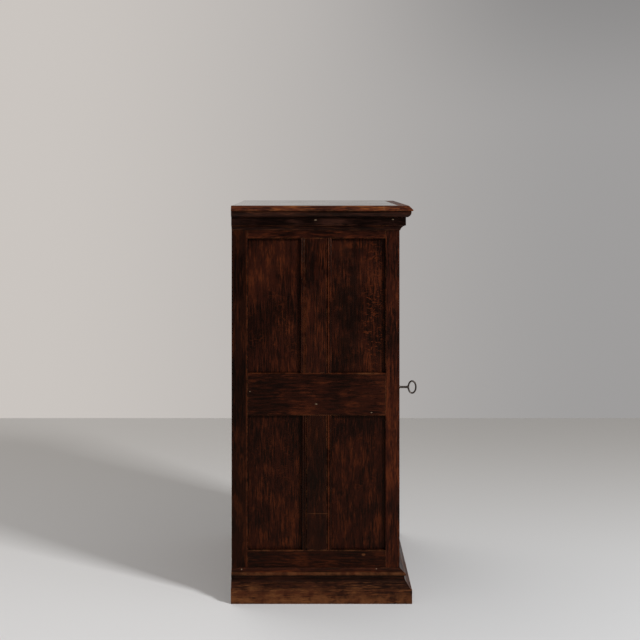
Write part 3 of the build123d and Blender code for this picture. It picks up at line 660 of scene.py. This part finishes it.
# every wooden node: its look, its grain, where its boards part, and what shows on it
woodFinish = {
    "left_stiles": dict(
        look=oakLook, along="Z", cuts=seams["stiles"], shades=boardShades["stiles"],
        lines=wearAndLightLines["stiles"], marks=marksAt("stilePatch")),
    "left_rails": dict(
        look=oakLook, along="Y", cuts=seams["rails"], shades=boardShades["rails"],
        lines=wearAndLightLines["rails"], marks=marksAt("railKnot", "railRub")),
    "left_muntins": dict(
        look=muntinLook, along="Z", cuts=seams["muntins"], shades=boardShades["muntins"],
        lines=wearAndLightLines["muntins"], marks=marksAt("muntinScratch", "darkBackBeads", "muntinGlow")),
    "left_panels": dict(
        look=panelLook, along="Z", cuts=seams["casePanels"], shades=boardShades["panels"],
        marks=marksAt("panelShade", "upperPanelGlow", "backPanelGlow", "frontPanelGlow"),
        fleckPlace=fleckOnPanel),
    "right_stiles": dict(look=oakLook, along="Z", cuts=seams["stiles"]),
    "right_rails": dict(look=oakLook, along="Y", cuts=seams["rails"]),
    "right_muntins": dict(look=muntinLook, along="Z", cuts=seams["muntins"]),
    "right_panels": dict(look=panelLook, along="Z", cuts=seams["casePanels"]),
    "front_top_rail": dict(look=oakLook, along="X"),
    "cornice_cavetto": dict(look=coveLook, along="runs"),
    "cornice_fascia": dict(look=fasciaLook, along="runs"),
    "cornice_ovolo": dict(look=mouldLook, along="runs"),
    "plinth_moulding": dict(
        look=plinthMouldLook, along="runs", lines=wearAndLightLines["moulding"],
        marks=marksAt("backStop", "frontStop")),
    "plinth_boards": dict(
        look=plinthLook, along="runs", shades=boardShades["plinth"], lines=wearAndLightLines["plinth"],
        marks=marksAt("plinthBruise", "plinthStain", "plinthScrape"),
        scuffHeight=plinthScuffHeight),
    "top_edging": dict(look=edgingLook, along="runs", marks=marksAt("edgingChip")),
    "top_board": dict(look=topLook, along="X"),
    "door_hinge_stile": dict(look=oakLook, along="Z"),
    "door_lock_stile": dict(look=oakLook, along="Z"),
    "door_rails": dict(look=oakLook, along="X", cuts=seams["rails"]),
    "door_muntins": dict(look=muntinLook, along="Z", cuts=seams["muntins"]),
    "door_panels": dict(look=panelLook, along="Z", cuts=seams["doorPanels"]),
    "bottom_board": dict(look=insideLook, along="X"),
    "dust_board": dict(look=insideLook, along="X"),
    "back_boards": dict(
        look=backLook, along="Z", cuts=seams["backBoards"], shades=boardShades["backBoards"]),
    "left_nest_side": dict(look=insideLook, along="Z"),
    "right_nest_side": dict(look=insideLook, along="Z"),
    "left_filler": dict(look=insideLook, along="Z"),
    "right_filler": dict(look=insideLook, along="Z"),
}
for number in range(1, drawerCount + 1):
    woodFinish[f"drawer_{number}_front"] = dict(look=drawerLook, along="X")
    woodFinish[f"drawer_{number}_tray"] = dict(look=trayLook, along="tray", cuts=seams["trays"])
    woodFinish[f"drawer_{number}_knob"] = dict(look=knobLook, along="Y")
brassNodes = (
    "case_hinge_leaves", "door_hinge_leaves", "hinge_pins", "escutcheon", "strike_plate", "lock_case",
)


def setMaterial(piece, material):
    piece.data.materials.clear()
    piece.data.materials.append(material)


for nodeName, finish in woodFinish.items():
    setMaterial(nodes[nodeName], woodMaterial(nodeName.replace("_", " "), **finish))
for nodeName in brassNodes:
    setMaterial(nodes[nodeName], brass)
setMaterial(nodes["lock_bolt"], iron)
print("finishes set")


# hand-worn arrises: a small rounding on every sawn edge, but not across the mitred lengths
rounding = {
    "wood": 0.0006,
    "knob": 0.0006,
    "metal": 0.00025,
    "segments": 2,
    "edgeAngle": 32.0,
    "flatAngle": 0.5,
    "weldReach": 0.00001,
}


def softenEdges(piece, width):
    weld = piece.modifiers.new("weld", "WELD")
    weld.merge_threshold = rounding["weldReach"]
    flatten = piece.modifiers.new("flatten", "DECIMATE")
    flatten.decimate_type = "DISSOLVE"
    flatten.angle_limit = math.radians(rounding["flatAngle"])
    bevel = piece.modifiers.new("soften", "BEVEL")
    bevel.width = width
    bevel.segments = rounding["segments"]
    bevel.limit_method = "ANGLE"
    bevel.angle_limit = math.radians(rounding["edgeAngle"])


for nodeName, finish in woodFinish.items():
    if finish["along"] != "runs":
        softenEdges(nodes[nodeName], rounding["knob" if nodeName.endswith("knob") else "wood"])
for nodeName in ("escutcheon", "strike_plate"):
    softenEdges(nodes[nodeName], rounding["metal"])
print("edges softened")


def meshPiece(name, build, body, material, smooth=True):
    mesh = bpy.data.meshes.new(name)
    work = bmesh.new()
    build(work)
    bmesh.ops.recalc_face_normals(work, faces=work.faces)
    work.to_mesh(mesh)
    work.free()
    piece = bpy.data.objects.new(name, mesh)
    scene.collection.objects.link(piece)
    for face in mesh.polygons:
        face.use_smooth = smooth
    piece.data.materials.append(material)
    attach(piece, body)
    return piece


def bandFaces(work, first, second):
    # a closed band of faces between two rings of corners
    count = len(first)
    for i in range(count):
        work.faces.new((first[i], first[(i + 1) % count], second[(i + 1) % count], second[i]))


def ringFaces(work, rings, closed=False):
    # skin between rings of points, each a list of the same length
    made = [[work.verts.new(point) for point in ring] for ring in rings]
    pairs = list(zip(made, made[1:]))
    if closed:
        pairs.append((made[-1], made[0]))
    for first, second in pairs:
        bandFaces(work, first, second)
    if not closed:
        work.faces.new(list(reversed(made[0])))
        work.faces.new(made[-1])


def turnedRing(x, y, z, radius, sides):
    # a ring of points about a line that runs from front to back
    angles = [math.tau * i / sides for i in range(sides)]
    return [Vector((x + radius * math.cos(angle), y, z + radius * math.sin(angle))) for angle in angles]


# the key, with a drawn iron ring for a bow
keyShape = {
    "ringRadius": 0.0017,
    "bowLength": 0.0186,
    "bowHeight": 0.0276,
    "stemRadius": 0.00225,
    "stemNeck": 0.8,  # the stem's share where it meets the bow
    "knopRadius": 0.0031,
    "knopLength": 0.0022,
    "knopStart": 0.0008,
    "knopEase": 0.92,
    "collarRadius": 0.0036,
    "collarLength": 0.0025,
    "collarGap": 0.0013,
    "collarRound": 0.0007,
    "collarEase": 0.93,
    "arris": 0.0002,
    "tipChamfer": 0.0003,
    "tipShare": 0.85,
    "bitThickness": 0.0022,
    "bitDrop": 0.008,
    "bitLength": 0.006,
    "wardWidth": 0.0012,
    "sides": 24,
    "bowSteps": 72,
    "creaseAngle": 50,
}
keyLow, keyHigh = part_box("key")
keyCentre = (keyLow + keyHigh) / 2
bowY = keyLow.y + keyShape["bowLength"] / 2


def addBow(work):
    sides = keyShape["sides"]
    ring = keyShape["ringRadius"]
    halfY = keyShape["bowLength"] / 2 - ring
    halfZ = keyShape["bowHeight"] / 2 - ring
    rings = []
    for step in range(keyShape["bowSteps"]):
        angle = math.tau * step / keyShape["bowSteps"]
        y = bowY + halfY * math.cos(angle)
        z = keyCentre.z + halfZ * math.sin(angle)
        middle = Vector((keyCentre.x, y, z))
        outwards = Vector((0, halfZ * math.cos(angle), halfY * math.sin(angle))).normalized()
        section = []
        for side in range(sides):
            turn = math.tau * side / sides
            beside = Vector((ring * math.sin(turn), 0, 0))
            section.append(middle + outwards * ring * math.cos(turn) + beside)
        rings.append(section)
    ringFaces(work, rings, closed=True)


def addStem(work):
    # turned from the bow to the tip, with a knop and a collar
    stem = keyShape["stemRadius"]
    knop = keyShape["knopRadius"]
    collar = keyShape["collarRadius"]
    arris = keyShape["arris"]
    startY = bowY + keyShape["bowLength"] / 2 - keyShape["ringRadius"]
    knopY = startY + keyShape["knopStart"]
    knopEnd = knopY + keyShape["knopLength"]
    collarY = frontY - keyShape["collarGap"] - keyShape["collarLength"]
    collarEnd = collarY + keyShape["collarLength"]
    profile = [
        (startY, stem * keyShape["stemNeck"]),
        (knopY, stem),
        (knopY + arris, knop * keyShape["knopEase"]),
        (knopY + keyShape["knopLength"] / 2, knop),
        (knopEnd - arris, knop * keyShape["knopEase"]),
        (knopEnd, stem),
        (collarY, stem),
        (collarY + arris, collar * keyShape["collarEase"]),
        (collarY + keyShape["collarRound"], collar),
        (collarEnd - keyShape["collarRound"], collar),
        (collarEnd - arris, collar * keyShape["collarEase"]),
        (collarEnd, stem),
        (keyHigh.y - keyShape["tipChamfer"], stem),
        (keyHigh.y, stem * keyShape["tipShare"]),
    ]
    sides = keyShape["sides"]
    ringFaces(work, [turnedRing(keyCentre.x, y, keyCentre.z, radius, sides) for y, radius in profile])


def addBit(work):
    # the bit, with a ward cut in its lower half
    half = keyShape["bitThickness"] / 2
    lastY = keyHigh.y - keyShape["tipChamfer"]
    firstY = lastY - keyShape["bitLength"]
    wardY = (firstY + lastY) / 2
    ward = keyShape["wardWidth"] / 2
    high = keyCentre.z - keyShape["stemRadius"] / 2
    low = keyCentre.z - keyShape["bitDrop"]
    wardZ = keyCentre.z - keyShape["bitDrop"] / 2
    outline = [
        (firstY, high), (firstY, low), (wardY - ward, low), (wardY - ward, wardZ),
        (wardY + ward, wardZ), (wardY + ward, low), (lastY, low), (lastY, high),
    ]
    left = [work.verts.new((keyCentre.x - half, y, z)) for y, z in outline]
    right = [work.verts.new((keyCentre.x + half, y, z)) for y, z in outline]
    bandFaces(work, left, right)
    # the faces on both sides, as two legs and a bridge
    for side in (left, right):
        work.faces.new((side[0], side[1], side[2], side[3]))
        work.faces.new((side[4], side[5], side[6], side[7]))
        work.faces.new((side[0], side[3], side[4], side[7]))


def buildKey(work):
    addBow(work)
    addStem(work)
    addBit(work)


key = meshPiece("cupboardKey", buildKey, "key", iron)
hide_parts("key")
key.modifiers.new("sharpEdges", "EDGE_SPLIT").split_angle = math.radians(keyShape["creaseAngle"])
print("key made")


# slotted screws for the hinges, the lock and the strike plate, and pins in the escutcheon
screwShape = {
    "radius": 0.0026,
    "proud": 0.00012,
    "sunk": 0.0008,
    "slotWidth": 0.0007,
    "slotDepth": 0.0005,
    "firstTurn": 0.7,  # radians; each screw's slot stands at its own angle
    "turnStep": 1.9,
    "sides": 28,
}


def addScrew(work, place, normal, slotTurn):
    # a countersunk head with a sawn slot
    normal = Vector(normal)
    across = normal.orthogonal().normalized()
    across.rotate(Quaternion(normal, slotTurn))
    beside = normal.cross(across)
    radius = screwShape["radius"]
    halfSlot = screwShape["slotWidth"] / 2
    top = Vector(place) + normal * screwShape["proud"]
    floor = top - normal * screwShape["slotDepth"]
    low = Vector(place) - normal * screwShape["sunk"]
    reach = math.sqrt(radius ** 2 - halfSlot ** 2)
    start = math.asin(halfSlot / radius)
    steps = screwShape["sides"] // 2
    for sign in (1, -1):
        arc = []
        for step in range(steps + 1):
            angle = start + (math.pi - 2 * start) * step / steps
            arc.append(across * radius * math.cos(angle) + beside * radius * math.sin(angle) * sign)
        topVerts = [work.verts.new(top + point) for point in arc]
        lowVerts = [work.verts.new(low + point) for point in arc]
        work.faces.new(topVerts)
        work.faces.new(list(reversed(lowVerts)))
        bandFaces(work, lowVerts, topVerts)
    corners = [across * reach + beside * halfSlot, across * -reach + beside * halfSlot,
               across * -reach - beside * halfSlot, across * reach - beside * halfSlot]
    upper = [work.verts.new(floor + corner) for corner in corners]
    lower = [work.verts.new(low + corner) for corner in corners]
    work.faces.new(upper)
    work.faces.new(list(reversed(lower)))
    bandFaces(work, lower, upper)


def screwSet(name, places, normal, body, material):
    def build(work):
        for index, place in enumerate(places):
            addScrew(work, place, normal, screwShape["firstTurn"] + screwShape["turnStep"] * index)
    return meshPiece(name, build, body, material, smooth=False)


hingeLayout = {
    "length": 0.060,
    "leafReach": 0.015,
    "leafProud": 0.0002,
    "firstScrew": 0.010,
    "screwRows": (0.62, 0.42, 0.62),  # how far in from the front each screw is, in leaf reaches
}


def hingeScrewPlaces(leafNode, leafFace):
    low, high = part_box(leafNode)
    rows = hingeLayout["screwRows"]
    spacing = (hingeLayout["length"] - 2 * hingeLayout["firstScrew"]) / (len(rows) - 1)
    places = []
    for bottom in (low.z, high.z - hingeLayout["length"]):
        for index, row in enumerate(rows):
            y = frontY + hingeLayout["leafReach"] * row
            places.append((leafFace, y, bottom + hingeLayout["firstScrew"] + spacing * index))
    return places


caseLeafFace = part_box("right_stiles")[0].x - hingeLayout["leafProud"]
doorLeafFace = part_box("door_hinge_stile")[1].x + hingeLayout["leafProud"]
for leafNode, body, leafFace, normal in (
    ("case_hinge_leaves", "case", caseLeafFace, (-1, 0, 0)),
    ("door_hinge_leaves", "door", doorLeafFace, (1, 0, 0)),
):
    places = hingeScrewPlaces(leafNode, leafFace)
    screwSet(body + "HingeScrews", places, normal, body, brass)

plateScrews = {"lockInset": 0.0045, "strikeInset": 0.007}
lockLow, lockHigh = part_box("lock_case")
lockInset = plateScrews["lockInset"]
lockPlaces = [
    (x, lockHigh.y, z)
    for x in (lockLow.x + lockInset, lockHigh.x - lockInset)
    for z in (lockLow.z + lockInset, lockHigh.z - lockInset)
]
screwSet("lockScrews", lockPlaces, (0, 1, 0), "door", brass)
strikeLow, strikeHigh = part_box("strike_plate")
strikeInset = plateScrews["strikeInset"]
strikePlaces = [
    (strikeHigh.x, (strikeLow.y + strikeHigh.y) / 2, z)
    for z in (strikeLow.z + strikeInset, strikeHigh.z - strikeInset)
]
screwSet("strikeScrews", strikePlaces, (1, 0, 0), "case", brass)

pinShape = {
    "radius": 0.0010,
    "height": 0.0005,
    "sunk": 0.0001,
    "inset": 0.0028,
    "domeSteps": (0.0, 0.45, 0.8, 0.97),
    "sides": 16,
}
plateLow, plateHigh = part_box("escutcheon")


def buildPins(work):
    x = (plateLow.x + plateHigh.x) / 2
    startY = plateLow.y + pinShape["sunk"]
    for z in (plateLow.z + pinShape["inset"], plateHigh.z - pinShape["inset"]):
        rings = []
        for share in pinShape["domeSteps"]:
            radius = pinShape["radius"] * math.sqrt(1 - share ** 2)
            y = startY - (pinShape["height"] + pinShape["sunk"]) * share
            rings.append(turnedRing(x, y, z, radius, pinShape["sides"]))
        ringFaces(work, rings)


meshPiece("escutcheonPins", buildPins, "door", brass)
print("screws and pins made")


# old nail holes stopped with lighter filler, seen as pale spots
fillerLook = {
    "low": colour(0.060, 0.036, 0.020),
    "high": colour(0.170, 0.118, 0.074),
    "mottle": (900.0, 3.0, 0.6),
    "mottleRange": (0.35, 0.65),
    "roughness": 0.8,
    "specular": 0.2,
}
filler, fillerTree, fillerShader = newMaterial("nail filler")
fillerCoordinates = addNode(fillerTree, "ShaderNodeTexCoord").outputs["Object"]
mottle = noise(fillerTree, fillerCoordinates, *fillerLook["mottle"])
mottle = ramp(fillerTree, mottle, *fillerLook["mottleRange"])
fillerTone = mixColour(fillerTree, mottle, fillerLook["low"], fillerLook["high"])
feed(fillerTree, fillerShader.inputs["Base Color"], fillerTone)
fillerShader.inputs["Roughness"].default_value = fillerLook["roughness"]
fillerShader.inputs["Specular IOR Level"].default_value = fillerLook["specular"]

# the photograph's pixel of each, the plane it lies on and its radius in metres
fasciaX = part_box("cornice_fascia")[0].x
nailSpots = {
    "seen": (
        ((315.5, 220.0), fasciaX, 0.0014),
        ((393.0, 219.5), fasciaX, 0.0011),
        ((316.0, 404.0), sideX, 0.0014),
        ((371.5, 412.5), sideX, 0.0010),
        ((250.0, 391.5), sideX, 0.0008),
    ),
    "widening": 1.9,
    "proud": 0.00015,
    "sunk": 0.0004,
    "edgeStart": 0.6,  # where the filling starts to round off, and how small its face is
    "faceShare": 0.7,
    "sides": 14,
}


def buildFillers(work):
    sides = nailSpots["sides"]
    proud = nailSpots["proud"]
    steps = (
        (nailSpots["sunk"], 1.0),
        (-proud * nailSpots["edgeStart"], 1.0),
        (-proud, nailSpots["faceShare"]),
    )
    for pixel, planeX, radius in nailSpots["seen"]:
        place = sidePlace(*pixel, planeX)
        rings = []
        for depth, share in steps:
            ring = []
            for i in range(sides):
                angle = math.tau * i / sides
                across = radius * share * nailSpots["widening"] * math.cos(angle)
                ring.append(place + Vector((depth, across, radius * share * math.sin(angle))))
            rings.append(ring)
        ringFaces(work, rings)


meshPiece("nailFillings", buildFillers, "case", filler)
print("nail marks made")


# floor, painted lighter near the camera for the lamp's falloff and lighter on the left than on the
# right, and a studio wall's tone in the world behind its far edge
floorLook = {
    "edgeX": 1.68,  # the floor ends where the wall rises
    "nearX": -5.0,
    "halfWidth": 5.0,
    "near": colour(0.656, 0.666, 0.678),
    "far": colour(0.480, 0.472, 0.460),
    "fade": (-0.6, 1.6),
    "leftTint": colour(1.07, 1.06, 1.05),
    "rightTint": colour(0.86, 0.86, 0.86),
    "tintFade": (-0.8, 0.9),
    "roughness": 0.70,
    "specular": 0.12,
}
nearX, edgeX, halfWidth = floorLook["nearX"], floorLook["edgeX"], floorLook["halfWidth"]
floorMesh = bpy.data.meshes.new("floor")
floorMesh.from_pydata(
    [(nearX, -halfWidth, 0), (edgeX, -halfWidth, 0), (edgeX, halfWidth, 0), (nearX, halfWidth, 0)],
    [], [(0, 1, 2, 3)],
)
floor = bpy.data.objects.new("floor", floorMesh)
scene.collection.objects.link(floor)
floorMaterial, floorTree, floorShader = newMaterial("studio floor")
floorAxes = splitAxes(floorTree, addNode(floorTree, "ShaderNodeTexCoord").outputs["Object"])
# the floor's colour is painted lighter near the camera and darker far off, standing in for the lamp's
# falloff
floorFalloff = ramp(floorTree, floorAxes["X"], *floorLook["fade"])
floorTone = mixColour(floorTree, floorFalloff, floorLook["near"], floorLook["far"])
tintFade = ramp(floorTree, floorAxes["Y"], *floorLook["tintFade"])
floorTint = mixColour(floorTree, tintFade, floorLook["rightTint"], floorLook["leftTint"])
floorColour = mixColour(floorTree, 1.0, floorTone, floorTint, "MULTIPLY")
feed(floorTree, floorShader.inputs["Base Color"], floorColour)
floorShader.inputs["Roughness"].default_value = floorLook["roughness"]
floorShader.inputs["Specular IOR Level"].default_value = floorLook["specular"]
floorMesh.materials.append(floorMaterial)

wallLook = {
    "left": colour(0.595, 0.560, 0.530),
    "right": colour(0.345, 0.337, 0.335),
    "sideFade": (-0.24, 0.24),
    "behindCamera": colour(0.150, 0.150, 0.150),  # the dark end of the studio, lit from the walls
    "behindShine": colour(0.020, 0.020, 0.020),  # what polished faces see there
    "behindRise": (0.2, 1.0),
    "facing": (-0.5, 0.4),
    "topShade": 0.24,  # the wall darkens towards its upper right corner
    "topRise": (0.03, 0.16),
    "topSide": (-0.20, 0.02),
}
world = bpy.data.worlds.new("studio")
scene.world = world
world.use_nodes = True
worldTree = world.node_tree
worldShader = worldTree.nodes["Background"]
worldAxes = splitAxes(worldTree, addNode(worldTree, "ShaderNodeTexCoord").outputs["Generated"])
sideFade = ramp(worldTree, worldAxes["Y"], *wallLook["sideFade"])
wallTone = mixColour(worldTree, sideFade, wallLook["right"], wallLook["left"])
topRise = ramp(worldTree, worldAxes["Z"], *wallLook["topRise"])
topSide = ramp(worldTree, worldAxes["Y"], *wallLook["topSide"], wallLook["topShade"], 0.0)
cornerShade = times(worldTree, topRise, topSide)
wallTone = mixColour(worldTree, cornerShade, wallTone, colour(0.0, 0.0, 0.0))
facing = ramp(worldTree, worldAxes["X"], *wallLook["facing"])
rays = addNode(worldTree, "ShaderNodeLightPath")
behind = mixColour(
    worldTree, rays.outputs["Is Glossy Ray"], wallLook["behindCamera"], wallLook["behindShine"])
behindRise = ramp(worldTree, worldAxes["Z"], *wallLook["behindRise"])
darkSide = mixColour(worldTree, behindRise, behind, wallLook["left"])
lightTone = mixColour(worldTree, facing, darkSide, wallTone)
worldColour = mixColour(worldTree, rays.outputs["Is Camera Ray"], lightTone, wallTone)
feed(worldTree, worldShader.inputs["Color"], worldColour)
worldShader.inputs["Strength"].default_value = 1.0

# soft key from the camera's right, and a weak fill so that the far sides read
lightPlan = {
    "key": {"place": (-2.25, -2.35, 2.35), "aim": (0.0, 0.0, 0.35), "size": 0.62, "watts": 137.0},
    "fill": {"place": (2.2, 2.0, 2.6), "aim": (0.0, 0.0, 0.4), "size": 2.6, "watts": 27.0},
}
for lightName, plan in lightPlan.items():
    lampData = bpy.data.lights.new(lightName, "AREA")
    lampData.energy = plan["watts"]
    lampData.shape = "SQUARE"
    lampData.size = plan["size"]
    lamp = bpy.data.objects.new(lightName, lampData)
    lamp.location = plan["place"]
    beam = Vector(plan["aim"]) - Vector(plan["place"])
    lamp.rotation_euler = beam.to_track_quat("-Z", "Y").to_euler()
    scene.collection.objects.link(lamp)

scene.view_settings.view_transform = "Standard"
print("stage and lights set")
